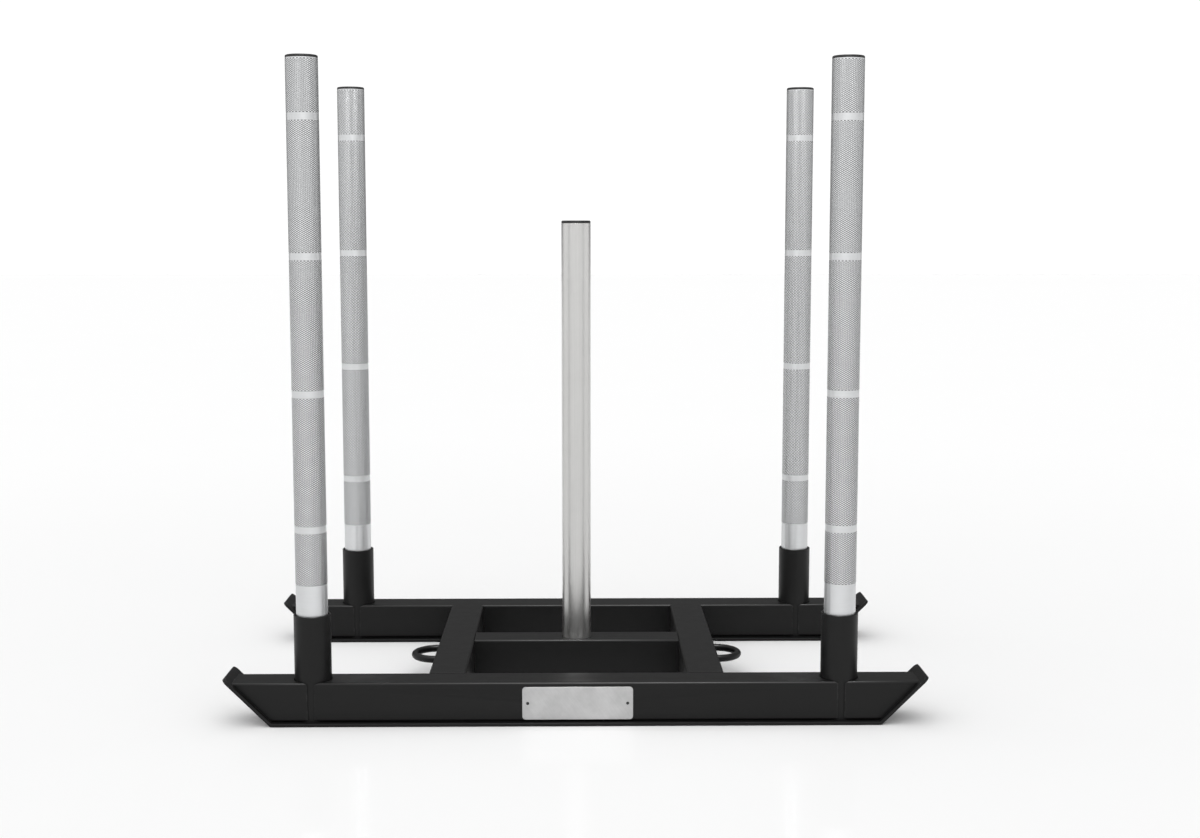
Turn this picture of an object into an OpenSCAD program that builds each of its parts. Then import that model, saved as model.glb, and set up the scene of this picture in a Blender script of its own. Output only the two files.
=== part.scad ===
// Push sled for the gym floor: two steel runners on upturned skid plates, two cross members,
// a centre beam with a plate post, four lift-out grip posts and a tow loop at each end.
// Frame: +X forwards along the runners, +Y to the left, +Z up; the origin is on the ground
// under the middle of the sled. All sizes are in millimetres and degrees.

/* [Layout] */
// Distance between the front and rear grip posts, centre to centre
post_pitch = 810; // [600:5:1100]
// Distance between the right and left runners, centre to centre
track = 533; // [400:1:700]
// Distance between the two cross members, centre to centre
cross_pitch = 402.4; // [220:0.2:500]
// Distance from a grip post's centre line out to the bend in the skid plate
toe_out = 61; // [45:0.5:120]

/* [Skid plates] */
// Width of the flat bar
skid_w = 82; // [64:1:110]
// How far a skid plate sits inwards of its runner's middle
skid_in = 2.2; // [0:0.1:4]
// Thickness of the flat bar
skid_t = 5; // [4:0.5:10]
// Angle of the upturned ends above the floor
toe_angle = 45; // [30:1:60]
// Radius inside the bend
bend_r = 3; // [1:0.5:8]
// How far an upturned end reaches past the top of its runner, along the slope
toe_over = 13.8; // [6:0.1:40]
// Radius of the corners at the tips
tip_r = 10; // [2:0.5:20]

/* [Runner tube] */
// Width of the runner tube
rail_w = 58.4; // [50:0.2:80]
// Height of the runner tube, and of the cross members and centre beam
tube_h = 61; // [50:0.5:80]
// Wall of the runner tube
rail_wall = 3; // [2:0.5:5]
// Outer corner radius of all the frame tubes
tube_r = 4; // [3:0.5:8]

/* [Cross members and centre beam] */
// Width of the cross member tube and of the centre beam tube
cross_w = 58.4; // [56:0.2:80]
// Wall of the cross member tube and of the centre beam tube
cross_wall = 3; // [2:0.5:5]

/* [Grip posts] */
// Outer diameter of the post tube
post_od = 48.3; // [42:0.1:52]
// Wall of the post tube
post_wall = 3; // [2:0.1:5]
// Length of a grip post, without its cap
post_len = 999; // [700:1:1200]
// Height of the knurling's lower end above the foot of the post
knurl_start = 209.5; // [180:0.5:240]
// Height that the knurling stands proud of the bare tube
knurl_rise = 0.2; // [0.1:0.05:0.6]
// Height of the lowest smooth ring's middle above the foot of the post
ring_start = 295; // [255:1:330]
// Distance from one smooth ring to the next
ring_pitch = 206; // [100:1:260]
// Width of a smooth ring between two knurled stretches
ring_w = 10.5; // [4:0.5:30]
// Plain rim left between the knurling and the top of the post
knurl_rim = 1.5; // [0.5:0.5:10]
// Bevel around the outer edges of a post's ends
post_bevel = 0.5; // [0.2:0.1:1]

/* [Sockets] */
// Free space around a post inside its socket, on the radius
socket_clear = 1.35; // [0.5:0.05:3]
// Wall of the socket tube
socket_wall = 2.8; // [2:0.1:6]
// Height of a socket above the top of the runner
socket_rise = 101.3; // [60:0.1:160]
// Bevel on both edges of a socket's mouth
socket_bevel = 0.6; // [0.2:0.1:1]
// Seam between a socket and the cut ends of the runner tube, on the radius
socket_seam = 1.3; // [0.1:0.1:4]

/* [Plate post] */
// Length of the plate post tube, without its cap
plate_post_len = 756; // [400:1:1000]
// Free space around the plate post in the hole of the centre beam, on the radius
plate_hole_clear = 0.9; // [0.3:0.1:2]
// Height of the steel plug in the foot of the plate post
foot_h = 30; // [15:1:60]
// Gap between the plug and the inside of the tube, on the radius
foot_clear = 0.1; // [0.05:0.05:0.3]
// Thread diameter of the screw that holds the plate post from below
screw_d = 8; // [6:1:10]
// Length of that screw under its head
screw_len = 25; // [16:1:60]
// Diameter of the screw's domed head
screw_head_d = 14; // [12:0.5:20]
// Height of the screw's head, which stays clear of the floor
screw_head_h = 4.2; // [3:0.1:4.6]
// Width of the hex recess across its flats
screw_key = 5; // [4:0.5:6]
// Free space around the screw, on the radius, in the beam
screw_clear = 0.5; // [0.2:0.1:1]

/* [Post caps] */
// Height of a cap's head above the tube
cap_head = 4; // [3:0.5:8]
// Radius around the top edge of a cap's head
cap_edge = 2; // [0.5:0.25:2.5]
// Depth of a cap's stem inside the tube
cap_stem = 22; // [10:1:40]
// Wall of a cap's stem
cap_wall = 2.5; // [1.5:0.5:4]
// Gap between a cap's stem and the inside of the tube, on the radius
cap_clear = 0.15; // [0.05:0.05:0.3]

/* [Tow loops] */
// Diameter of the round bar
loop_bar = 12; // [8:0.5:16]
// Radius of the half ring, to the middle of the bar
loop_r = 38; // [25:1:70]
// Length of the straight legs before the half ring begins
loop_leg = 6; // [2:0.5:40]

/* [Name plate] */
// Length of the plate
plate_l = 169; // [100:1:240]
// Gap between the plate's lower edge and the skid plate below it
plate_foot = 3.4; // [0.5:0.1:12]
// Height of bare runner face above the plate
plate_head = 6.8; // [1:0.1:12]
// Thickness of the plate
plate_t = 2; // [1:0.25:4]
// Radius of the plate's corners
plate_r = 5; // [2:0.5:12]
// How far the plate sits forwards of the sled's middle
plate_shift = 1.7; // [-60:0.1:60]
// Distance from each rivet's centre line to the plate's end
rivet_inset = 8.2; // [6:0.1:30]
// Diameter of a rivet's head
rivet_head = 4.8; // [4.2:0.1:8]
// Height of a rivet's head
rivet_rise = 0.6; // [0.4:0.1:1]
// Diameter of a rivet's shank
rivet_d = 3.2; // [2.4:0.1:3.8]
// Length of a rivet's shank behind the plate
rivet_len = 8; // [6:0.5:14]
// Free space around a rivet's shank, on the radius
rivet_clear = 0.1; // [0.05:0.05:0.3]

/* [Hidden] */

$fn = 96;
eps = 1;
bend_steps = 10;

powder_black = [0.17, 0.17, 0.175];
steel = [0.78, 0.78, 0.79];
cap_black = [0.06, 0.06, 0.065];
zinc = [0.66, 0.67, 0.69];

post_x = post_pitch / 2;
side_y = track / 2;
rail_top = skid_t + tube_h;
tube_mid = skid_t + tube_h / 2;
post_id = post_od - 2 * post_wall;
socket_id = post_od + 2 * socket_clear;
socket_od = socket_id + 2 * socket_wall;
socket_h = tube_h + socket_rise;
seam_d = socket_od + 2 * socket_seam;

// The bend: where the outer faces of the flat and the upturned part would meet
bend_x = post_x + toe_out;
bend_out = bend_r + skid_t;
// The same point on the inner faces, and the slope's length from the outer one to the tip
bend_in_x = bend_x - skid_t * tan(toe_angle / 2);
slope_len = (rail_top + toe_over * sin(toe_angle) - skid_t * cos(toe_angle)) / sin(toe_angle);
// Where the bend's arc starts, and what is left of the slope beyond it
arc_x = bend_x - bend_out * tan(toe_angle / 2);
toe_len = slope_len - bend_out * tan(toe_angle / 2);

beam_len = cross_pitch - cross_w;
member_len = track - rail_w;
beam_floor = skid_t + cross_wall;
plate_hole_d = post_od + 2 * plate_hole_clear;

plate_h = tube_h - plate_foot - plate_head;
plate_y = -side_y - rail_w / 2;
plate_z = skid_t + plate_foot + plate_h / 2;
rivet_pitch = plate_l - 2 * rivet_inset;

knurl_end = post_len - knurl_rim;
// Middles of the smooth rings that lie wholly inside the knurled length
ring_z = [for (z = [ring_start : ring_pitch : knurl_end - ring_w]) z];
// Lower and upper ends of the knurled stretches, from the foot of the post
knurl_lo = concat([knurl_start], [for (z = ring_z) z + ring_w / 2]);
knurl_hi = concat([for (z = ring_z) z - ring_w / 2], [knurl_end]);

// A rectangle with rounded corners, about its middle
module round_rect(w, h, r) {
  square([w - 2 * r, h], center = true);
  square([w, h - 2 * r], center = true);
  for (x = [-1, 1], y = [-1, 1]) translate([x * (w / 2 - r), y * (h / 2 - r)]) circle(r = r);
}

// A bar with rounded edges along X, about the origin
module bar_x(len, w, h, r) {
  rotate([90, 0, 90]) linear_extrude(len, center = true) round_rect(w, h, r);
}

// A box-section tube along X, about the origin
module box_tube(len, w, h, wall, r) {
  difference() {
    bar_x(len, w, h, r);
    bar_x(len + 2 * eps, w - 2 * wall, h - 2 * wall, max(r - wall, 0.5));
  }
}

// Points along a bend's arc of radius r, from the flat to the slope, in side view
function bend_arc(r) = [for (i = [0 : bend_steps])
  let (t = toe_angle * i / bend_steps) [arc_x + r * sin(t), bend_out - r * cos(t)]];

// A point on the slope, d beyond the bend's arc and r from the arc's centre
function on_slope(d, r) = [arc_x + d * cos(toe_angle) + r * sin(toe_angle),
  bend_out + d * sin(toe_angle) - r * cos(toe_angle)];

// The same points on the other half of the sled, in reverse order
function other_half(p) = [for (i = [len(p) - 1 : -1 : 0]) [-p[i][0], p[i][1]]];

// Side view of a skid plate: a flat, two bends and two upturned ends
module skid_side() {
  outer = concat(bend_arc(bend_out), [on_slope(toe_len, bend_out)]);
  inner = concat(bend_arc(bend_r), [on_slope(toe_len, bend_r)]);
  polygon(concat(outer, [for (i = [len(inner) - 1 : -1 : 0]) inner[i]],
    other_half([for (i = [len(inner) - 1 : -1 : 0]) inner[i]]), other_half(outer)));
}

// What is cut off to round the two corners of each upturned end
module tip_corners() {
  for (m = [0, 1]) mirror([m, 0, 0]) translate([bend_x, 0, 0]) rotate([0, -toe_angle, 0])
    translate([slope_len, 0, -eps]) for (s = [0, 1]) mirror([0, s, 0])
      translate([0, skid_w / 2, 0]) linear_extrude(skid_t + 2 * eps) difference() {
        translate([-tip_r, -tip_r]) square(tip_r + eps);
        translate([-tip_r, -tip_r]) circle(r = tip_r * 1.01);
      }
}

module skid_plate(y) {
  color(powder_black) translate([0, y - sign(y) * skid_in, 0]) difference() {
    rotate([90, 0, 0]) linear_extrude(skid_w, center = true) skid_side();
    tip_corners();
  }
}

// Side view of the space above a skid plate that a runner fills, up to the sloping ends
module runner_side() {
  edge = concat(bend_arc(bend_r), [on_slope(2 * tube_h / sin(toe_angle), bend_r)]);
  polygon(concat(edge, other_half(edge)));
}

// One length of a runner between the planes x0 and x1, cut round the sockets
module runner_part(y, x0, x1) {
  color(powder_black) difference() {
    intersection() {
      translate([0, y, tube_mid])
        box_tube(2 * (bend_in_x + 2 * tube_h / tan(toe_angle)), rail_w, tube_h, rail_wall, tube_r);
      translate([0, y, 0]) rotate([90, 0, 0])
        linear_extrude(rail_w + 2 * eps, center = true) runner_side();
      translate([x0, y - rail_w, 0]) cube([x1 - x0, 2 * rail_w, rail_top + 2 * eps]);
    }
    for (s = [-1, 1]) translate([s * post_x, y, 0]) cylinder(h = rail_top + 3 * eps, d = seam_d);
    if (y < 0) rivet_holes();
  }
}

nose_end = bend_in_x + 2 * tube_h / tan(toe_angle);

module runner_nose(y, dir) {
  runner_part(y, dir > 0 ? post_x : -nose_end, dir > 0 ? nose_end : -post_x);
}

module runner_centre(y) {
  runner_part(y, -post_x, post_x);
}

// A socket stands on the skid plate, goes up through the runner and is open at the top
module post_socket(sx, sy) {
  b = socket_bevel;
  color(powder_black) translate([sx * post_x, sy * side_y, skid_t]) rotate_extrude()
    polygon([[socket_id / 2, 0], [socket_od / 2, 0], [socket_od / 2, socket_h - b],
      [socket_od / 2 - b, socket_h], [socket_id / 2 + b, socket_h], [socket_id / 2, socket_h - b]]);
}

module cross_member(dir) {
  color(powder_black) translate([dir * cross_pitch / 2, 0, tube_mid]) rotate([0, 0, 90])
    box_tube(member_len, cross_w, tube_h, cross_wall, tube_r);
}

// The beam's top is drilled for the plate post and its floor for the screw
module centre_beam() {
  color(powder_black) difference() {
    translate([0, 0, tube_mid]) box_tube(beam_len, cross_w, tube_h, cross_wall, tube_r);
    translate([0, 0, tube_mid]) cylinder(h = tube_h, d = plate_hole_d);
    cylinder(h = tube_mid, d = screw_d + 2 * screw_clear);
  }
}

// A half ring of round bar with straight legs, standing off a cross member's outer face
module tow_loop(dir) {
  face_x = cross_pitch / 2 + cross_w / 2;
  color(powder_black) mirror([dir < 0 ? 1 : 0, 0, 0]) translate([face_x, 0, tube_mid]) {
    translate([loop_leg, 0, 0]) rotate([0, 0, -90]) rotate_extrude(angle = 180)
      translate([loop_r, 0]) circle(d = loop_bar, $fn = 48);
    for (s = [-1, 1]) translate([0, s * loop_r, 0]) rotate([0, 90, 0])
      cylinder(h = loop_leg, d = loop_bar, $fn = 48);
  }
}

// A plain steel tube with bevelled ends, standing on its foot
module post_tube(len) {
  b = post_bevel;
  difference() {
    rotate_extrude() polygon([[0, 0], [post_od / 2 - b, 0], [post_od / 2, b],
      [post_od / 2, len - b], [post_od / 2 - b, len], [0, len]]);
    translate([0, 0, -eps]) cylinder(h = len + 2 * eps, d = post_id);
  }
}

// A grip post rests on the skid plate inside its socket; the knurling stands slightly proud
module grip_post(sx, sy) {
  color(steel) translate([sx * post_x, sy * side_y, skid_t]) {
    post_tube(post_len);
    for (i = [0 : len(knurl_lo) - 1]) translate([0, 0, knurl_lo[i]]) difference() {
      cylinder(h = knurl_hi[i] - knurl_lo[i], d = post_od + 2 * knurl_rise);
      translate([0, 0, -eps])
        cylinder(h = knurl_hi[i] - knurl_lo[i] + 2 * eps, d = post_od - post_wall);
    }
  }
}

// A push-in cap: a disc with a rounded edge over a hollow stem
module cap(z) {
  head_r = post_od / 2;
  stem_r = post_id / 2 - cap_clear;
  color(cap_black) translate([0, 0, z]) difference() {
    union() {
      rotate_extrude() union() {
        square([head_r, cap_head - cap_edge]);
        square([head_r - cap_edge, cap_head]);
        translate([head_r - cap_edge, cap_head - cap_edge]) intersection() {
          circle(r = cap_edge, $fn = 48);
          square(2 * cap_edge);
        }
      }
      translate([0, 0, -cap_stem]) cylinder(h = cap_stem + eps, r = stem_r);
    }
    translate([0, 0, -cap_stem - eps]) cylinder(h = cap_stem + eps, r = stem_r - cap_wall);
  }
}

module grip_post_cap(sx, sy) {
  translate([sx * post_x, sy * side_y, 0]) cap(skid_t + post_len);
}

module plate_post() {
  color(steel) translate([0, 0, beam_floor]) post_tube(plate_post_len);
}

module plate_post_cap() {
  cap(beam_floor + plate_post_len);
}

// A tapped plug fixed inside the foot of the plate post
module plate_post_foot() {
  color(zinc) translate([0, 0, beam_floor]) difference() {
    cylinder(h = foot_h, d = post_id - 2 * foot_clear);
    translate([0, 0, -eps]) cylinder(h = foot_h + 2 * eps, d = screw_d + 2 * foot_clear);
  }
}

// A domed screw from below, with a hex recess, clear of the floor
module plate_post_screw() {
  dome_r = (pow(screw_head_d / 2, 2) + pow(screw_head_h, 2)) / (2 * screw_head_h);
  color(zinc) translate([0, 0, skid_t]) difference() {
    union() {
      intersection() {
        translate([0, 0, dome_r - screw_head_h]) sphere(r = dome_r);
        translate([0, 0, -screw_head_h]) cylinder(h = screw_head_h, d = screw_head_d);
      }
      cylinder(h = screw_len, d = screw_d);
    }
    translate([0, 0, -screw_head_h - eps])
      cylinder(h = screw_head_h / 2 + eps, d = screw_key / cos(30), $fn = 6);
  }
}

module name_plate() {
  color(steel) difference() {
    translate([plate_shift, plate_y, plate_z]) rotate([90, 0, 0]) linear_extrude(plate_t)
      round_rect(plate_l, plate_h, plate_r);
    rivet_holes();
  }
}

// Holes for both rivets, through the plate and the runner's outer wall
module rivet_holes() {
  for (s = [-1, 1]) translate([plate_shift + s * rivet_pitch / 2, plate_y, plate_z])
    rotate([90, 0, 0]) translate([0, 0, -rail_wall - 2 * eps])
      cylinder(h = rail_wall + plate_t + 4 * eps, d = rivet_d + 2 * rivet_clear, $fn = 48);
}

// A blind rivet with a low domed head on the plate's face
module name_plate_rivet(s) {
  dome_r = (pow(rivet_head / 2, 2) + pow(rivet_rise, 2)) / (2 * rivet_rise);
  color(cap_black) translate([plate_shift + s * rivet_pitch / 2, plate_y - plate_t, plate_z])
    rotate([90, 0, 0]) {
      intersection() {
        translate([0, 0, rivet_rise - dome_r]) sphere(r = dome_r);
        cylinder(h = rivet_rise, d = rivet_head, $fn = 48);
      }
      translate([0, 0, -rivet_len - plate_t])
        cylinder(h = rivet_len + plate_t, d = rivet_d, $fn = 48);
    }
}

skid_plate(-side_y);  // skid_plate_right
skid_plate(side_y);  // skid_plate_left
runner_nose(-side_y, -1);  // runner_right_rear_nose
runner_centre(-side_y);  // runner_right_centre
runner_nose(-side_y, 1);  // runner_right_front_nose
runner_nose(side_y, -1);  // runner_left_rear_nose
runner_centre(side_y);  // runner_left_centre
runner_nose(side_y, 1);  // runner_left_front_nose
post_socket(1, -1);  // post_socket_front_right
post_socket(1, 1);  // post_socket_front_left
post_socket(-1, -1);  // post_socket_rear_right
post_socket(-1, 1);  // post_socket_rear_left
cross_member(1);  // cross_member_front
cross_member(-1);  // cross_member_rear
centre_beam();
tow_loop(1);  // tow_loop_front
tow_loop(-1);  // tow_loop_rear
plate_post();
plate_post_cap();
plate_post_foot();
plate_post_screw();
name_plate();
name_plate_rivet(1);  // name_plate_rivet_front
name_plate_rivet(-1);  // name_plate_rivet_rear
grip_post(1, -1);  // grip_post_front_right
grip_post(1, 1);  // grip_post_front_left
grip_post(-1, -1);  // grip_post_rear_right
grip_post(-1, 1);  // grip_post_rear_left
grip_post_cap(1, -1);  // grip_post_cap_front_right
grip_post_cap(1, 1);  // grip_post_cap_front_left
grip_post_cap(-1, -1);  // grip_post_cap_rear_right
grip_post_cap(-1, 1);  // grip_post_cap_rear_left
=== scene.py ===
"""Looks of a push sled: black coated frame, knurled grip posts, bare steel plate post.

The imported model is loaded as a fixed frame. The frame's own pieces keep their shapes and get
softened edges and finishes. The four grip posts are modelled again with true knurling. All
sizes are in metres, in the sled's own frame: +X forwards, +Y to the left, +Z up.
"""

from __future__ import annotations

import logging
import math
from dataclasses import dataclass
from enum import Enum

import bmesh
import bpy
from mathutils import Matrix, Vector

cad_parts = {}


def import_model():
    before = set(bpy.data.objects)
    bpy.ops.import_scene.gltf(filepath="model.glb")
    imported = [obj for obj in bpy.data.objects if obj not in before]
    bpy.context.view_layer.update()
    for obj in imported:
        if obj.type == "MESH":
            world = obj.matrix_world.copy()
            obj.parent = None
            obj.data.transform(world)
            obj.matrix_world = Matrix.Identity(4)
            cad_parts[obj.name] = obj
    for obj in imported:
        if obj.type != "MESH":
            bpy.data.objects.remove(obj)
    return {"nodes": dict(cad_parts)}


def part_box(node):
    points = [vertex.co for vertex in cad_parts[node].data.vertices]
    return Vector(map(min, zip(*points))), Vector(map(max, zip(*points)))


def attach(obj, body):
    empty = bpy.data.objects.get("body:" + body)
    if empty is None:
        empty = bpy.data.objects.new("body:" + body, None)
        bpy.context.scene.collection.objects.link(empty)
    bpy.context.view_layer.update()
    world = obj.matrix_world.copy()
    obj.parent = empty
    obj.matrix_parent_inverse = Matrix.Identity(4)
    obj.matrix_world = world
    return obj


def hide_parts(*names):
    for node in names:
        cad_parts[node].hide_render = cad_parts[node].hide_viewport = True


LOG = logging.getLogger("push_sled")
MM = 0.001
SAME_PLACE = 0.001 * MM
KNURL_HEIGHT = "knurl_height"

Colour = tuple[float, float, float]
Socket = bpy.types.NodeSocket


def grey(level: float) -> Colour:
    """A neutral colour of one linear level."""
    return (level, level, level)


def rgba(colour: Colour) -> tuple[float, float, float, float]:
    """A colour with full alpha, as a shader socket takes it."""
    return (*colour, 1.0)


def way_to(turn: float, rise: float) -> Vector:
    """A direction over the floor.

    Args:
        turn: Degrees round from the camera's side towards +X.
        rise: Degrees up from the floor.

    Returns:
        The direction, one metre long.
    """
    turn, rise = math.radians(turn), math.radians(rise)
    return Vector((math.sin(turn) * math.cos(rise), -math.cos(turn) * math.cos(rise),
                   math.sin(rise)))


class Bench:
    """Adds nodes to one node tree and wires them together."""

    # Between these, smoothly, a noise pattern has most of its values.
    NOISE_LOW, NOISE_HIGH = 0.3, 0.7

    def __init__(self, tree: bpy.types.NodeTree) -> None:
        """Takes the tree to work on.

        Args:
            tree: A material's, world's or group's node tree.
        """
        self.tree = tree

    def add(self, kind: str, inputs: dict[str | int, object] | None = None,
            **settings: object) -> bpy.types.Node:
        """Adds one node.

        Args:
            kind: The node's type, without its ShaderNode prefix.
            inputs: Values or output sockets for its inputs, by name or number.
            settings: Properties of the node itself.

        Returns:
            The new node.
        """
        node = self.tree.nodes.new(kind if kind.startswith("Node") else f"ShaderNode{kind}")
        for name, value in settings.items():
            setattr(node, name, value)
        self.feed(node, inputs or {})
        return node

    def feed(self, node: bpy.types.Node, inputs: dict[str | int, object]) -> None:
        """Sets inputs of a node, or links sockets to them.

        Args:
            node: The node.
            inputs: Values or output sockets for its inputs, by name or number.
        """
        for key, value in inputs.items():
            if isinstance(value, Socket):
                self.tree.links.new(value, node.inputs[key])
            else:
                node.inputs[key].default_value = value

    def noise(self, vector: Socket, scale: float | Socket, detail: float = 2.0,
              rough: float = 0.5) -> Socket:
        """A noise pattern.

        Args:
            vector: Where the pattern is read.
            scale: Its features per metre.
            detail: Finer layers added to it.
            rough: The strength of the finer layers.

        Returns:
            The socket of its value.
        """
        node = self.add("TexNoise", {"Vector": vector, "Scale": scale, "Detail": detail,
                                     "Roughness": rough})
        return node.outputs["Fac"]

    def ramp(self, value: Socket, low: float, high: float, to_low: float = 0.0,
             to_high: float = 1.0) -> Socket:
        """Maps a stretch of values smoothly to another.

        Args:
            value: The value to map.
            low: Where the stretch starts.
            high: Where it ends.
            to_low: What its start becomes.
            to_high: What its end becomes.

        Returns:
            The socket of the mapped value.
        """
        node = self.add("MapRange", {"Value": value, "From Min": low, "From Max": high,
                                     "To Min": to_low, "To Max": to_high},
                        interpolation_type="SMOOTHSTEP")
        return node.outputs["Result"]

    def maths(self, operation: str, first: float | Socket,
              second: float | Socket = 0.0) -> Socket:
        """One sum on two values.

        Args:
            operation: The sum, as Blender names it.
            first: The first value.
            second: The second value, where the sum has one.

        Returns:
            The socket of the result.
        """
        return self.add("Math", {0: first, 1: second}, operation=operation).outputs[0]

    def blend(self, share: float | Socket, first: Colour | Socket,
              second: Colour | Socket) -> Socket:
        """Mixes two colours.

        Args:
            share: How much of the second shows, from 0 to 1.
            first: The first colour.
            second: The second colour.

        Returns:
            The socket of the mixed colour.
        """
        ends = [end if isinstance(end, Socket) else rgba(end) for end in (first, second)]
        node = self.add("Mix", {0: share, 6: ends[0], 7: ends[1]}, data_type="RGBA")
        return node.outputs[2]

    def bump(self, height: Socket, strength: float, depth: float) -> Socket:
        """Turns a height into a bumpy normal.

        Args:
            height: The height, from 0 to 1.
            strength: How much of the bump shows.
            depth: What a height of 1 stands for.

        Returns:
            The socket of the normal.
        """
        node = self.add("Bump", {"Height": height, "Strength": strength, "Distance": depth})
        return node.outputs["Normal"]

    def effect(self, effect: Effect, inputs: dict[str, object]) -> bpy.types.Node:
        """Places one of the shared effects.

        Args:
            effect: Which effect.
            inputs: Values or sockets for its named inputs.

        Returns:
            The group node.
        """
        return self.add("Group", inputs, node_tree=effect_group(effect))


class Effect(Enum):
    """The shader effects that more than one finish uses."""

    GRAIN = "fine_grain"
    TONE = "cloudy_tone"
    SCRATCH = "hair_scratches"
    RUB = "rubbed_edges"


def _new_group(effect: Effect, values: dict[str, float],
               outputs: tuple[str, ...]) -> tuple[Bench, dict[str, Socket], bpy.types.Node]:
    """Starts a shader node group that takes a vector and some values and gives values.

    Args:
        effect: The effect that it makes.
        values: Its input values, with their defaults.
        outputs: The names of its outputs.

    Returns:
        The group's bench, its inputs by name and its output node.
    """
    group = bpy.data.node_groups.new(effect.value, "ShaderNodeTree")
    group.interface.new_socket("Vector", in_out="INPUT", socket_type="NodeSocketVector")
    for label, value in values.items():
        socket = group.interface.new_socket(label, in_out="INPUT",
                                            socket_type="NodeSocketFloat")
        socket.default_value = value
    for label in outputs:
        group.interface.new_socket(label, in_out="OUTPUT", socket_type="NodeSocketFloat")
    bench = Bench(group)
    start = bench.add("NodeGroupInput")
    return bench, dict(start.outputs.items()), bench.add("NodeGroupOutput")


def _build_grain() -> bpy.types.NodeTree:
    """Fine grain of a coated or moulded surface.

    Returns:
        The group; its height is a mix of two sizes of bump.
    """
    finer = 3.7
    bench, given, end = _new_group(Effect.GRAIN, {"Scale": 700.0, "Fine Share": 0.35},
                                   ("Height",))
    coarse = bench.noise(given["Vector"], given["Scale"], detail=2.0)
    fine_scale = bench.maths("MULTIPLY", given["Scale"], finer)
    fine = bench.noise(given["Vector"], fine_scale, detail=1.0)
    mixed = bench.add("Mix", {0: given["Fine Share"], 2: coarse, 3: fine}, data_type="FLOAT")
    bench.feed(end, {"Height": mixed.outputs[0]})
    return bench.tree


def _build_tone() -> bpy.types.NodeTree:
    """Cloudy differences of tone over a surface.

    Returns:
        The group; its tone is a value about 1.
    """
    bench, given, end = _new_group(Effect.TONE, {"Scale": 12.0, "Amount": 0.1}, ("Tone",))
    cloud = bench.noise(given["Vector"], given["Scale"], detail=4.0, rough=0.6)
    centred = bench.maths("MULTIPLY", bench.maths("SUBTRACT", cloud, 0.5), 2.0)
    shift = bench.maths("MULTIPLY", centred, given["Amount"])
    bench.feed(end, {"Tone": bench.maths("ADD", shift, 1.0)})
    return bench.tree


def _build_scratch() -> bpy.types.NodeTree:
    """Hair scratches that run mostly along the vector's Z.

    Returns:
        The group; its mask has the scratches and its height the fine lines under them.
    """
    # A line is a scratch where the noise passes top_level, less drop times the share.
    top_level, drop, hardness = 0.78, 0.4, 9.0
    bench, given, end = _new_group(
        Effect.SCRATCH, {"Across": 900.0, "Along": 12.0, "Share": 0.3}, ("Mask", "Height"))
    parts = bench.add("SeparateXYZ", {"Vector": given["Vector"]}).outputs
    scales = {"X": given["Across"], "Y": given["Across"], "Z": given["Along"]}
    stretched = bench.add("CombineXYZ", {axis: bench.maths("MULTIPLY", parts[axis], scale)
                                         for axis, scale in scales.items()})
    lines = bench.noise(stretched.outputs["Vector"], 1.0, detail=3.0, rough=0.65)
    level = bench.maths("SUBTRACT", top_level, bench.maths("MULTIPLY", given["Share"], drop))
    above = bench.maths("SUBTRACT", lines, level)
    sharp = bench.add("Clamp", {"Value": bench.maths("MULTIPLY", above, hardness)})
    bench.feed(end, {"Mask": sharp.outputs["Result"], "Height": lines})
    return bench.tree


def _build_rub() -> bpy.types.NodeTree:
    """Rubbed edges, broken up so that the rubbing looks uneven.

    Returns:
        The group; its mask is 1 where an edge is rubbed.
    """
    # Cosines of the bend over the width of an edge, from none rubbed to all rubbed.
    even, bent = 0.995, 0.9
    bench, given, end = _new_group(Effect.RUB, {"Width": 1.2 * MM, "Break Up": 60.0},
                                   ("Mask",))
    rounded = bench.add("Bevel", {"Radius": given["Width"]}, samples=3).outputs["Normal"]
    flat = bench.add("NewGeometry").outputs["Normal"]
    along = bench.add("VectorMath", {0: rounded, 1: flat}, operation="DOT_PRODUCT")
    edge = bench.ramp(along.outputs["Value"], even, bent)
    cloud = bench.noise(given["Vector"], given["Break Up"], detail=5.0, rough=0.7)
    patches = bench.ramp(cloud, 0.4, bench.NOISE_HIGH)
    bench.feed(end, {"Mask": bench.maths("MULTIPLY", edge, patches)})
    return bench.tree


_BUILDERS = {Effect.GRAIN: _build_grain, Effect.TONE: _build_tone,
             Effect.SCRATCH: _build_scratch, Effect.RUB: _build_rub}


def effect_group(effect: Effect) -> bpy.types.NodeTree:
    """The node group of an effect, built on its first use."""
    return bpy.data.node_groups.get(effect.value) or _BUILDERS[effect]()


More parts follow.
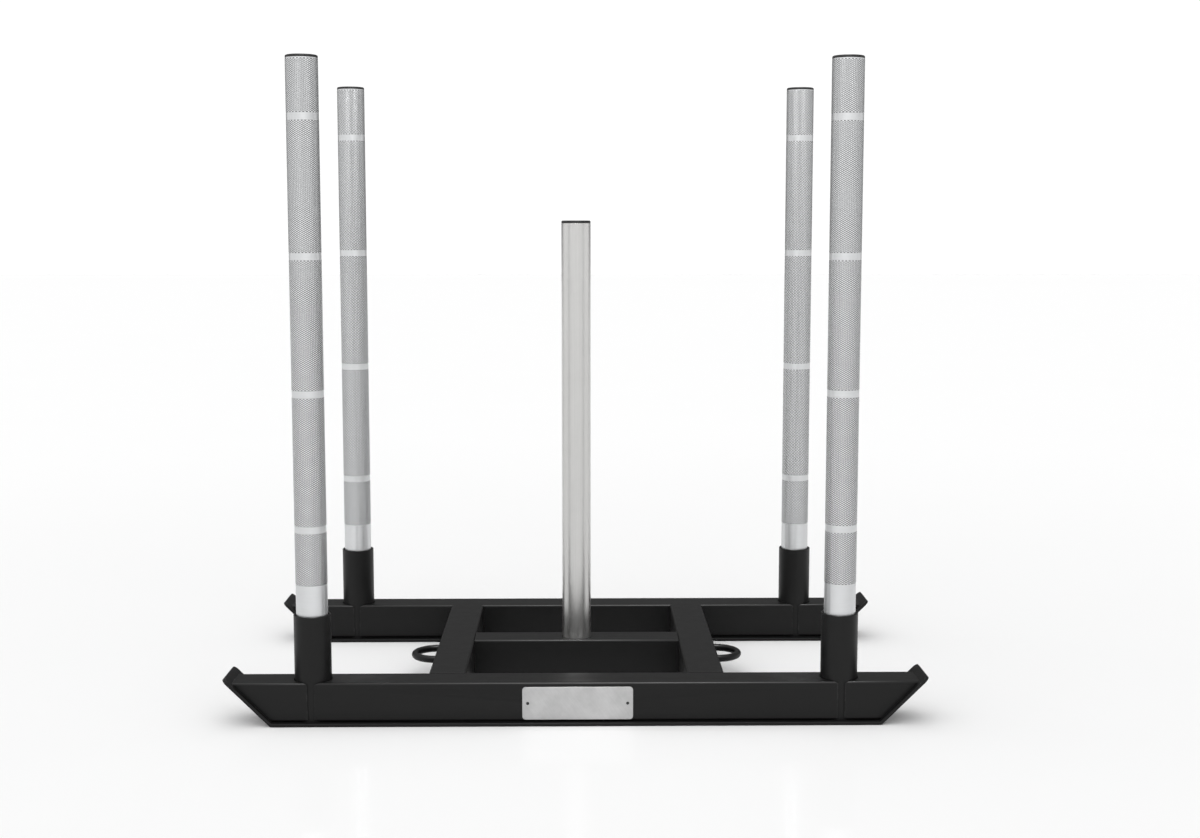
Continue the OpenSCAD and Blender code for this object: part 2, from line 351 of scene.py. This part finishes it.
@dataclass(frozen=True)
class Finish:
    """What every finish has: a material name, a base colour, a gloss and a cloudy tone."""

    name: str
    colour: Colour
    roughness: float
    metallic: float = 0.0
    specular: float = 0.5
    cloud_scale: float = 20.0
    cloud: float = 0.05

    def start(self) -> tuple[Bench, bpy.types.Node, Socket]:
        """Makes an empty material with its shader.

        Returns:
            Its bench, its Principled shader and the piece's own coordinates.
        """
        material = bpy.data.materials.new(self.name)
        material.use_nodes = True
        material.node_tree.nodes.clear()
        bench = Bench(material.node_tree)
        shader = bench.add("BsdfPrincipled", {
            "Base Color": rgba(self.colour), "Roughness": self.roughness,
            "Metallic": self.metallic, "Specular IOR Level": self.specular})
        bench.add("OutputMaterial", {"Surface": shader.outputs["BSDF"]})
        return bench, shader, bench.add("TexCoord").outputs["Object"]

    def tone(self, bench: Bench, place: Socket) -> Socket:
        """The finish's cloudy tone.

        Args:
            bench: The material's bench.
            place: The piece's own coordinates.

        Returns:
            The socket of a value about 1.
        """
        node = bench.effect(Effect.TONE, {"Vector": place, "Scale": self.cloud_scale,
                                          "Amount": self.cloud})
        return node.outputs["Tone"]

    def tinted(self, bench: Bench, tone: Socket,
               colour: Colour | Socket | None = None) -> Socket:
        """The base colour with a tone multiplied into it.

        Args:
            bench: The material's bench.
            tone: A value about 1.
            colour: Another colour than the finish's own.

        Returns:
            The socket of the tinted colour.
        """
        base = self.colour if colour is None else colour
        grey_tone = bench.add("CombineColor", {0: tone, 1: tone, 2: tone}).outputs[0]
        ends = base if isinstance(base, Socket) else rgba(base)
        return bench.add("Mix", {0: 1.0, 6: ends, 7: grey_tone}, data_type="RGBA",
                         blend_type="MULTIPLY").outputs[2]

    def patchy_gloss(self, bench: Bench, patches: Socket, swing: float) -> Socket:
        """A roughness that varies a little over the surface.

        Args:
            bench: The material's bench.
            patches: The noise that it follows.
            swing: How far it goes either side of the finish's own.

        Returns:
            The socket of the roughness.
        """
        return bench.ramp(patches, bench.NOISE_LOW, bench.NOISE_HIGH,
                          self.roughness - swing, self.roughness + swing)


@dataclass(frozen=True)
class PowderCoat(Finish):
    """Satin black powder coat with a fine orange peel and slightly rubbed edges."""

    cloud_scale: float = 14.0
    cloud: float = 0.14
    grain: float = 900.0
    grain_depth: float = 0.02 * MM
    grain_strength: float = 0.35
    rub_colour: Colour = grey(0.03)
    rub_amount: float = 0.6
    rub_patches: float = 90.0
    gloss_patches: float = 35.0
    gloss_swing: float = 0.03

    def material(self) -> bpy.types.Material:
        """Builds the material.

        Returns:
            The material.
        """
        bench, shader, place = self.start()
        grain = bench.effect(Effect.GRAIN, {"Vector": place, "Scale": self.grain})
        rub = bench.effect(Effect.RUB, {"Vector": place, "Break Up": self.rub_patches})
        share = bench.maths("MULTIPLY", rub.outputs["Mask"], self.rub_amount)
        coat = self.tinted(bench, self.tone(bench, place))
        patches = bench.noise(place, self.gloss_patches, detail=4.0)
        bench.feed(shader, {
            "Base Color": bench.blend(share, coat, self.rub_colour),
            "Roughness": self.patchy_gloss(bench, patches, self.gloss_swing),
            "Normal": bench.bump(grain.outputs["Height"], self.grain_strength,
                                 self.grain_depth)})
        return bpy.data.materials[self.name]


@dataclass(frozen=True)
class KnurledSteel(Finish):
    """Chromed knurling, with painted shade: its colour is painted dark in the grooves and
    bright on the diamonds.
    """

    metallic: float = 1.0
    cloud_scale: float = 9.0
    cloud: float = 0.03
    # Painted shade: the colour painted into the grooves, where the knurl's own shade falls.
    painted_groove_shade: Colour = grey(0.045)
    full_colour_height: float = 0.9
    gloss_patches: float = 60.0
    gloss_swing: float = 0.02

    def material(self) -> bpy.types.Material:
        """Builds the material.

        Returns:
            The material.
        """
        bench, shader, place = self.start()
        height = bench.add("Attribute", attribute_name=KNURL_HEIGHT).outputs["Fac"]
        # Painted shade: from the dark groove colour at the groove bottoms to the full colour
        # on the diamonds' tops.
        facets_with_painted_shade = bench.blend(bench.ramp(height, 0.0, self.full_colour_height),
                             self.painted_groove_shade, self.colour)
        patches = bench.noise(place, self.gloss_patches, detail=3.0)
        bench.feed(shader, {
            "Base Color": self.tinted(bench, self.tone(bench, place), facets_with_painted_shade),
            "Roughness": self.patchy_gloss(bench, patches, self.gloss_swing)})
        return bpy.data.materials[self.name]


@dataclass(frozen=True)
class LinedSteel(Finish):
    """Bare steel with fine lines and a few hair scratches, by their number per metre."""

    metallic: float = 1.0
    cloud_scale: float = 26.0
    across: float = 700.0
    along: float = 6.0
    line_swing: float = 0.04
    scratch_share: float = 0.2
    scratch_dullness: float = 0.15
    stretch: float = 0.0
    stretch_turn: float = 0.0

    def draw_lines(self, bench: Bench, shader: bpy.types.Node, place: Socket,
                   turned: Socket) -> Socket:
        """Draws the lines and scratches into the shader's colour and gloss.

        Args:
            bench: The material's bench.
            shader: Its Principled shader.
            place: The piece's own coordinates.
            turned: The same, turned so that the lines run along Z.

        Returns:
            The socket of the lines' height.
        """
        scratch = bench.effect(Effect.SCRATCH, {
            "Vector": turned, "Across": self.across, "Along": self.along,
            "Share": self.scratch_share}).outputs
        lines = bench.ramp(scratch["Height"], 0.2, 0.8, 1.0 - self.line_swing,
                           1.0 + self.line_swing)
        both = bench.maths("MULTIPLY", self.tone(bench, place), lines)
        bench.feed(shader, {
            "Base Color": self.tinted(bench, both),
            "Roughness": bench.ramp(scratch["Mask"], 0.0, 1.0, self.roughness,
                                    self.roughness + self.scratch_dullness),
            "Anisotropic": self.stretch, "Anisotropic Rotation": self.stretch_turn})
        return scratch["Height"]


@dataclass(frozen=True)
class TurnedSteel(LinedSteel):
    """Chromed steel with fine lines round the tube, which draw its reflections out in Z."""

    cloud_scale: float = 22.0
    cloud: float = 0.04
    across: float = 40.0
    along: float = 2600.0
    line_swing: float = 0.03
    scratch_share: float = 0.15
    scratch_dullness: float = 0.1
    stretch: float = 0.7
    stretch_turn: float = 0.25

    def material(self) -> bpy.types.Material:
        """Builds the material.

        Returns:
            The material.
        """
        bench, shader, place = self.start()
        self.draw_lines(bench, shader, place, place)
        return bpy.data.materials[self.name]


@dataclass(frozen=True)
class DrawnSteel(LinedSteel):
    """Bright steel with fine lines along Z, or along Z turned, and a fine relief."""

    turn: tuple[float, float, float] = (0.0, 0.0, 0.0)
    line_depth: float = 0.01 * MM
    line_strength: float = 0.25

    def material(self) -> bpy.types.Material:
        """Builds the material.

        Returns:
            The material.
        """
        bench, shader, place = self.start()
        turned = bench.add("Mapping", {"Vector": place, "Rotation": self.turn}).outputs[0]
        height = self.draw_lines(bench, shader, place, turned)
        bench.feed(shader, {"Normal": bench.bump(height, self.line_strength,
                                                 self.line_depth)})
        return bpy.data.materials[self.name]


@dataclass(frozen=True)
class MouldedPlastic(Finish):
    """Black moulded plastic with a fine spark grain."""

    cloud_scale: float = 80.0
    cloud: float = 0.15
    grain: float = 1400.0
    grain_depth: float = 0.03 * MM
    grain_strength: float = 0.3

    def material(self) -> bpy.types.Material:
        """Builds the material.

        Returns:
            The material.
        """
        bench, shader, place = self.start()
        grain = bench.effect(Effect.GRAIN, {"Vector": place, "Scale": self.grain})
        bench.feed(shader, {
            "Base Color": self.tinted(bench, self.tone(bench, place)),
            "Normal": bench.bump(grain.outputs["Height"], self.grain_strength,
                                 self.grain_depth)})
        return bpy.data.materials[self.name]


@dataclass(frozen=True)
class StudioFloor(Finish):
    """A pale floor with a weak mirror sheen that doesn't grow towards the horizon, and painted
    light: its colour grows a little paler away from the sled.
    """

    cloud_scale: float = 1.5
    cloud: float = 0.004
    near: float = 1.0
    far: float = 3.5
    far_painted_light: float = 1.03
    sheen: float = 0.05
    sheen_roughness: float = 0.04

    def material(self) -> bpy.types.Material:
        """Builds the material, with painted light that makes it a little paler away from the
        sled.

        Returns:
            The material.
        """
        bench, shader, place = self.start()
        away = bench.add("VectorMath", {0: place}, operation="LENGTH").outputs["Value"]
        # Painted light: the floor's colour is made up to 3 % paler from near to far from the
        # sled.
        painted_paler = bench.ramp(away, self.near, self.far, 1.0, self.far_painted_light)
        tone = bench.maths("MULTIPLY", self.tone(bench, place), painted_paler)
        bench.feed(shader, {"Base Color": self.tinted(bench, tone)})
        mirror = bench.add("BsdfGlossy", {"Color": rgba(grey(1.0)),
                                          "Roughness": self.sheen_roughness},
                           distribution="GGX")
        both = bench.add("MixShader", {0: self.sheen, 1: shader.outputs["BSDF"],
                                       2: mirror.outputs["BSDF"]})
        end = next(n for n in bench.tree.nodes if n.type == "OUTPUT_MATERIAL")
        bench.feed(end, {"Surface": both.outputs[0]})
        return bpy.data.materials[self.name]


FRAME_BLACK = PowderCoat("frame_black_coat", grey(0.0052), 0.4, specular=0.215)
GRIP_SMOOTH = TurnedSteel("grip_post_turned", (0.605, 0.613, 0.62), 0.36)
GRIP_KNURL = KnurledSteel("grip_post_knurl", (0.665, 0.673, 0.681), 0.24)
POST_STEEL = DrawnSteel("plate_post_bright", (0.56, 0.557, 0.547), 0.28, stretch=0.4)
PLATE_STEEL = DrawnSteel("name_plate_brushed", grey(0.49), 0.34, cloud=0.3, across=500.0,
                         along=24.0, scratch_share=0.35, turn=(0.0, math.radians(38), 0.0))
ZINC = DrawnSteel("zinc_plated", (0.5, 0.51, 0.53), 0.36, cloud=0.1, across=200.0,
                  along=200.0)
CAP_BLACK = MouldedPlastic("cap_plastic_black", grey(0.012), 0.5, specular=0.35)
RIVET_BLACK = MouldedPlastic("rivet_black_coat", grey(0.006), 0.4, grain=2500.0)
FLOOR_WHITE = StudioFloor("studio_floor", grey(0.95), 0.9, specular=0.0)


@dataclass
class SubAssembly:
    """Pieces that are made and dressed together."""

    nodes: dict[str, bpy.types.Object]
    edge_angle: float = math.radians(32)
    edge_steps: int = 3
    flat_angle: float = math.radians(0.5)

    def named(self, *starts: str) -> list[bpy.types.Object]:
        """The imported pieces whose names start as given, in the order of their names."""
        return [self.nodes[name] for name in sorted(self.nodes) if name.startswith(starts)]

    def soften(self, piece: bpy.types.Object, width: float) -> None:
        """Rounds a piece's sharp edges, with the mesh itself left as it is.

        Args:
            piece: The piece.
            width: The width of the rounding.
        """
        weld = piece.modifiers.new("weld", "WELD")
        weld.merge_threshold = SAME_PLACE
        flat = piece.modifiers.new("flat_faces", "DECIMATE")
        flat.decimate_type = "DISSOLVE"
        flat.angle_limit = self.flat_angle
        edge = piece.modifiers.new("soft_edge", "BEVEL")
        edge.width = width
        edge.segments = self.edge_steps
        edge.limit_method = "ANGLE"
        edge.angle_limit = self.edge_angle
        edge.harden_normals = True

    def paint(self, piece: bpy.types.Object, material: bpy.types.Material, slot: str) -> None:
        """Puts a material on every slot of a piece.

        Args:
            piece: The piece to paint.
            material: Its finish.
            slot: Not used.
        """
        for holder in piece.material_slots:
            holder.material = material
        LOG.info("%s: %s", piece.name, material.name)


@dataclass
class WeldedFrame(SubAssembly):
    """The black welded frame: skid plates, runners, sockets, cross members, beam, loops."""

    plate_edge: float = 0.4 * MM
    cut_edge: float = 0.35 * MM

    def dress(self, coat: bpy.types.Material) -> None:
        """Softens the cut edges and coats every piece of the frame.

        Args:
            coat: The powder coat.
        """
        plates = self.named("skid_plate_")
        tubes = self.named("runner_", "cross_member_", "centre_beam")
        for piece in plates:
            self.soften(piece, self.plate_edge)
        for piece in tubes:
            self.soften(piece, self.cut_edge)
        for piece in plates + tubes + self.named("post_socket_", "tow_loop_"):
            self.paint(piece, coat, "frame_black")


@dataclass
class PlatePost(SubAssembly):
    """The central post for weight plates, with its cap, foot plug and screw."""

    def dress(self, steel: bpy.types.Material, plastic: bpy.types.Material,
              zinc: bpy.types.Material) -> None:
        """Dresses the post and its fittings.

        Args:
            steel: The tube's finish.
            plastic: The cap's finish.
            zinc: The finish of the plug and the screw.
        """
        self.paint(self.nodes["plate_post"], steel, "plate_post_steel")
        self.paint(self.nodes["plate_post_cap"], plastic, "cap_plastic")
        for piece in self.named("plate_post_foot", "plate_post_screw"):
            self.paint(piece, zinc, "zinc_steel")


@dataclass
class NamePlate(SubAssembly):
    """The bare steel name plate on the right-hand runner, with its two rivets."""

    rim: float = 0.7 * MM

    def dress(self, steel: bpy.types.Material, black: bpy.types.Material) -> None:
        """Rounds the plate's rim and dresses plate and rivets.

        Args:
            steel: The plate's finish.
            black: The rivets' finish.
        """
        self.soften(self.nodes["name_plate"], self.rim)
        self.paint(self.nodes["name_plate"], steel, "name_plate_steel")
        for piece in self.named("name_plate_rivet_"):
            self.paint(piece, black, "rivet_black")


@dataclass
class GripPost(SubAssembly):
    """One lift-out grip post: a steel tube, knurled between smooth rings, and its cap."""

    corner: str = "front_right"
    radius: float = 24.15 * MM
    bore: float = 21.15 * MM
    crest: float = 24.33 * MM
    groove: float = 23.98 * MM
    bevel: float = 0.5 * MM
    lip: float = 0.12 * MM
    knurl_start: float = 209.5 * MM
    knurl_rim: float = 1.5 * MM
    ring_start: float = 295.0 * MM
    ring_pitch: float = 206.0 * MM
    ring_width: float = 10.5 * MM
    diamonds: int = 28
    diamond_height: float = 2.901 * MM
    shoulder: float = 0.08 * MM
    flank: float = 0.62 * MM
    # Height given to the plain surface and to the knurl's end rows; the knurl finish paints
    # less groove shade there.
    plain_height: float = 0.6
    crease: float = math.radians(20)

    @property
    def node(self) -> str:
        """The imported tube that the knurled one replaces."""
        return f"grip_post_{self.corner}"

    def stretches(self, length: float) -> list[tuple[float, float]]:
        """The knurled stretches, from the foot.

        Args:
            length: The post's length.

        Returns:
            The lower and upper end of each.
        """
        end = length - self.knurl_rim
        cuts = [self.knurl_start]
        middle = self.ring_start
        while middle < end - self.ring_width:
            cuts += [middle - self.ring_width / 2, middle + self.ring_width / 2]
            middle += self.ring_pitch
        cuts.append(end)
        return list(zip(cuts[::2], cuts[1::2]))

    def rows(self, low: float, high: float) -> int:
        """How many half diamonds stand one over another in a knurled stretch."""
        return round((high - low) / (self.diamond_height / 2))

    def profile(self, length: float) -> list[tuple[float, float, int]]:
        """The outline of the post's wall, from inside the foot round to inside the top.

        Args:
            length: The post's length.

        Returns:
            Each corner's radius and height, and the rows of half diamonds on the way to it.
        """
        corners = [(self.bore, 0.0, 0), (self.radius - self.bevel, 0.0, 0),
                   (self.radius, self.bevel, 0)]
        for low, high in self.stretches(length):
            corners += [(self.radius, low, 0),
                        (self.groove, low + self.shoulder, 0),
                        (self.groove, high - self.shoulder, self.rows(low, high)),
                        (self.radius, high, 0)]
        corners += [(self.radius, length - self.lip, 0),
                    (self.radius - self.bevel, length, 0), (self.bore, length, 0)]
        return corners

    def build(self) -> bpy.types.Object:
        """Models the post by spinning its outline, then raises the knurling.

        Returns:
            The new object, riding on its body in place of its node.
        """
        low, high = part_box(self.node)
        foot = Vector(((low.x + high.x) / 2, (low.y + high.y) / 2, low.z))
        mesh = bmesh.new()
        height = mesh.verts.layers.float.new(KNURL_HEIGHT)
        corners = self.profile(high.z - low.z)
        outline = [mesh.verts.new((radius, 0.0, z)) for radius, z, _ in corners]
        outline.append(outline[0])
        edges = [mesh.edges.new(pair) for pair in zip(outline, outline[1:])]
        for edge, (_, _, rows) in zip(edges, corners[1:] + corners[:1]):
            if rows:
                bmesh.ops.subdivide_edges(mesh, edges=[edge], cuts=rows - 1)
        bmesh.ops.spin(mesh, geom=mesh.verts[:] + mesh.edges[:], cent=(0, 0, 0),
                       axis=(0, 0, 1), angle=math.tau, steps=2 * self.diamonds,
                       use_merge=True)
        bmesh.ops.remove_doubles(mesh, verts=mesh.verts[:], dist=SAME_PLACE)
        for face in mesh.faces:
            face.smooth = True
        self.raise_knurl(mesh, high.z - low.z, height)
        bmesh.ops.recalc_face_normals(mesh, faces=mesh.faces[:])
        bmesh.ops.translate(mesh, verts=mesh.verts[:], vec=foot)
        return self.finish(mesh)

    def raise_knurl(self, mesh: bmesh.types.BMesh, length: float,
                    height: bmesh.types.BMLayerItem) -> None:
        """Turns the knurled stretches into rows of flat-topped diamonds.

        Args:
            mesh: The spun post, on the origin.
            length: The post's length.
            height: The layer for the height above the grooves, from 0 to 1.
        """
        step = math.tau / (2 * self.diamonds)
        slack = SAME_PLACE / 10
        for vert in mesh.verts:
            vert[height] = self.plain_height
        crests, faces = [], []
        for low, high in self.stretches(length):
            first, last = low + self.shoulder, high - self.shoulder
            rows = self.rows(low, high)
            inside = {v: round(rows * (v.co.z - first) / (last - first)) for v in mesh.verts
                      if first - slack < v.co.z < last + slack
                      and v.co.xy.length > self.bore + MM}
            for vert, row in inside.items():
                column = round(math.atan2(vert.co.y, vert.co.x) / step)
                # The rows next to the rings get the plain height, which keeps the knurl
                # finish's painted groove shade faint there.
                vert[height] = 0.0 if 0 < row < rows else self.plain_height
                if (column + row) % 2 == 0 and 0 < row < rows:
                    vert.co.xy *= self.crest / self.groove
                    crests.append(vert)
            faces += [f for f in mesh.faces if all(v in inside for v in f.verts)]
        self.cut_diamonds(mesh, faces, crests, height)

    def cut_diamonds(self, mesh: bmesh.types.BMesh, faces: list[bmesh.types.BMFace],
                     crests: list[bmesh.types.BMVert],
                     height: bmesh.types.BMLayerItem) -> None:
        """Cuts raised grid points off flat, which leaves a diamond round each.

        Args:
            mesh: The spun post.
            faces: The faces of its knurled stretches.
            crests: The raised points.
            height: The layer for the height above the grooves, from 0 to 1.
        """
        made = bmesh.ops.triangulate(mesh, faces=faces, quad_method="SHORT_EDGE")
        for face in made["faces"]:
            face.smooth = False
            face.material_index = 1
        bmesh.ops.dissolve_verts(mesh, verts=crests)
        diamonds = [f for f in mesh.faces if f.material_index == 1 and len(f.verts) == 4]
        bmesh.ops.inset_individual(mesh, faces=diamonds, thickness=self.flank,
                                   use_even_offset=True)
        for face in diamonds:
            for vert in face.verts:
                vert.co.xy *= self.crest / vert.co.xy.length
                vert[height] = 1.0

    def finish(self, mesh: bmesh.types.BMesh) -> bpy.types.Object:
        """Turns the mesh into a piece.

        Args:
            mesh: The finished post, in place.

        Returns:
            The object.
        """
        data = bpy.data.meshes.new(f"{self.node}_knurled")
        mesh.to_mesh(data)
        mesh.free()
        data.set_sharp_from_angle(angle=self.crease)
        piece = bpy.data.objects.new(f"{self.node}_knurled", data)
        bpy.context.scene.collection.objects.link(piece)
        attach(piece, f"post_{self.corner}")
        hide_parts(self.node)
        return piece

    def dress(self, smooth: bpy.types.Material, knurl: bpy.types.Material,
              plastic: bpy.types.Material) -> None:
        """Models the knurled tube and dresses it and its cap.

        Args:
            smooth: The finish of the tube's foot and rings.
            knurl: The finish of its knurling.
            plastic: The cap's finish.
        """
        tube = self.build()
        tube.data.materials.append(smooth)
        tube.data.materials.append(knurl)
        LOG.info("%s: %s and %s", tube.name, smooth.name, knurl.name)
        self.paint(self.nodes[f"grip_post_cap_{self.corner}"], plastic, "cap_plastic")


@dataclass(frozen=True)
class SoftBox:
    """A soft round patch of light, or of shade, in the studio's surround, in degrees."""

    turn: float
    rise: float
    inner: float
    outer: float
    level: float

    def level_in(self, bench: Bench, way: Socket) -> Socket:
        """The light that the box adds in a direction.

        Args:
            bench: The world's bench.
            way: The direction looked in.

        Returns:
            The socket of its level.
        """
        near = bench.add("VectorMath", {0: way, 1: way_to(self.turn, self.rise)},
                         operation="DOT_PRODUCT")
        return bench.ramp(near.outputs["Value"], math.cos(math.radians(self.outer)),
                          math.cos(math.radians(self.inner)), 0.0, self.level)


@dataclass(frozen=True)
class HighlightPanel:
    """A disc of light that shows only in gloss, as a bright line along rounded corners."""

    turn: float = 0.0
    rise: float = 80.0
    distance: float = 6.0
    radius: float = 0.55
    power: float = 330.0

    def hang(self) -> bpy.types.Object:
        """Hangs the panel, facing the middle of the floor.

        Returns:
            The light.
        """
        data = bpy.data.lights.new("highlight_panel", "AREA")
        data.shape = "DISK"
        data.size = 2 * self.radius
        data.energy = self.power
        panel = bpy.data.objects.new("highlight_panel", data)
        panel.location = self.distance * way_to(self.turn, self.rise)
        panel.rotation_euler = (math.radians(90 - self.rise), 0.0, math.radians(self.turn))
        panel.visible_diffuse = False
        panel.visible_camera = False
        bpy.context.scene.collection.objects.link(panel)
        return panel


@dataclass
class Studio:
    """A pale floor, a soft white surround and the camera."""

    floor_size: float = 60.0
    floor_drop: float = 0.2 * MM
    lens: float = 49.443
    sensor_width: float = 36.0
    view_end: float = 200.0
    eye: tuple[float, float, float] = (0.002052, -2.74982, 0.741567)
    pitch_down: float = math.radians(6.3145)
    yaw_right: float = math.radians(0.7869)
    ambient: float = 1.17
    shown: float = 1.05
    panel: HighlightPanel = HighlightPanel()
    # Light from above, then shade from behind the sled, from its left and from its right.
    boxes: tuple[SoftBox, ...] = (
        SoftBox(turn=0, rise=90, inner=15, outer=70, level=0.69),
        SoftBox(turn=180, rise=6, inner=28, outer=74, level=-1.0),
        SoftBox(turn=-95, rise=48, inner=14, outer=44, level=-0.42),
        SoftBox(turn=95, rise=48, inner=14, outer=44, level=-1.0))

    def build(self, floor: bpy.types.Material) -> None:
        """Makes the floor, the light and the camera.

        Args:
            floor: The floor's material.
        """
        self.make_floor(floor)
        self.make_light()
        self.panel.hang()
        self.make_camera()
        bpy.context.scene.view_settings.view_transform = "Standard"

    def make_floor(self, material: bpy.types.Material) -> None:
        """Lays the floor under the sled.

        Args:
            material: Its finish.
        """
        mesh = bmesh.new()
        bmesh.ops.create_grid(mesh, x_segments=8, y_segments=8, size=self.floor_size / 2)
        data = bpy.data.meshes.new("studio_floor")
        mesh.to_mesh(data)
        mesh.free()
        floor = bpy.data.objects.new("studio_floor", data)
        floor.location.z = -self.floor_drop
        bpy.context.scene.collection.objects.link(floor)
        data.materials.append(material)

    def make_light(self) -> None:
        """Lights the sled from a soft surround with a few soft boxes in it."""
        world = bpy.data.worlds.new("soft_surround")
        bpy.context.scene.world = world
        world.use_nodes = True
        world.node_tree.nodes.clear()
        bench = Bench(world.node_tree)
        way = bench.add("TexCoord").outputs["Generated"]
        level: Socket | float = self.ambient
        for box in self.boxes:
            level = bench.maths("ADD", box.level_in(bench, way), level)
        level = bench.maths("MAXIMUM", level, 0.0)
        seen = bench.add("LightPath").outputs["Is Camera Ray"]
        light = bench.add("Background", {"Color": rgba(grey(1.0)), "Strength": level})
        plain = bench.add("Background", {"Color": rgba(grey(1.0)), "Strength": self.shown})
        both = bench.add("MixShader", {0: seen, 1: light.outputs[0], 2: plain.outputs[0]})
        bench.add("OutputWorld", {"Surface": both.outputs[0]})

    def make_camera(self) -> None:
        """Places the camera where the photograph was taken from."""
        data = bpy.data.cameras.new("camera")
        data.sensor_fit = "HORIZONTAL"
        data.sensor_width = self.sensor_width
        data.lens = self.lens
        data.clip_end = self.view_end
        camera = bpy.data.objects.new("camera", data)
        camera.location = self.eye
        camera.rotation_euler = (math.radians(90) - self.pitch_down, 0.0, -self.yaw_right)
        bpy.context.scene.collection.objects.link(camera)
        bpy.context.scene.camera = camera


def main() -> None:
    """Loads the frame, builds and dresses each sub-assembly."""
    logging.basicConfig(level=logging.INFO, format="%(name)s: %(message)s")
    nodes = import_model()["nodes"]
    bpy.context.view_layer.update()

    Studio().build(FLOOR_WHITE.material())
    WeldedFrame(nodes).dress(FRAME_BLACK.material())
    cap = CAP_BLACK.material()
    PlatePost(nodes).dress(POST_STEEL.material(), cap, ZINC.material())
    NamePlate(nodes).dress(PLATE_STEEL.material(), RIVET_BLACK.material())
    smooth, knurl = GRIP_SMOOTH.material(), GRIP_KNURL.material()
    for corner in ("front_right", "front_left", "rear_right", "rear_left"):
        GripPost(nodes, corner=corner).dress(smooth, knurl, cap)


if __name__ == "__main__":
    main()
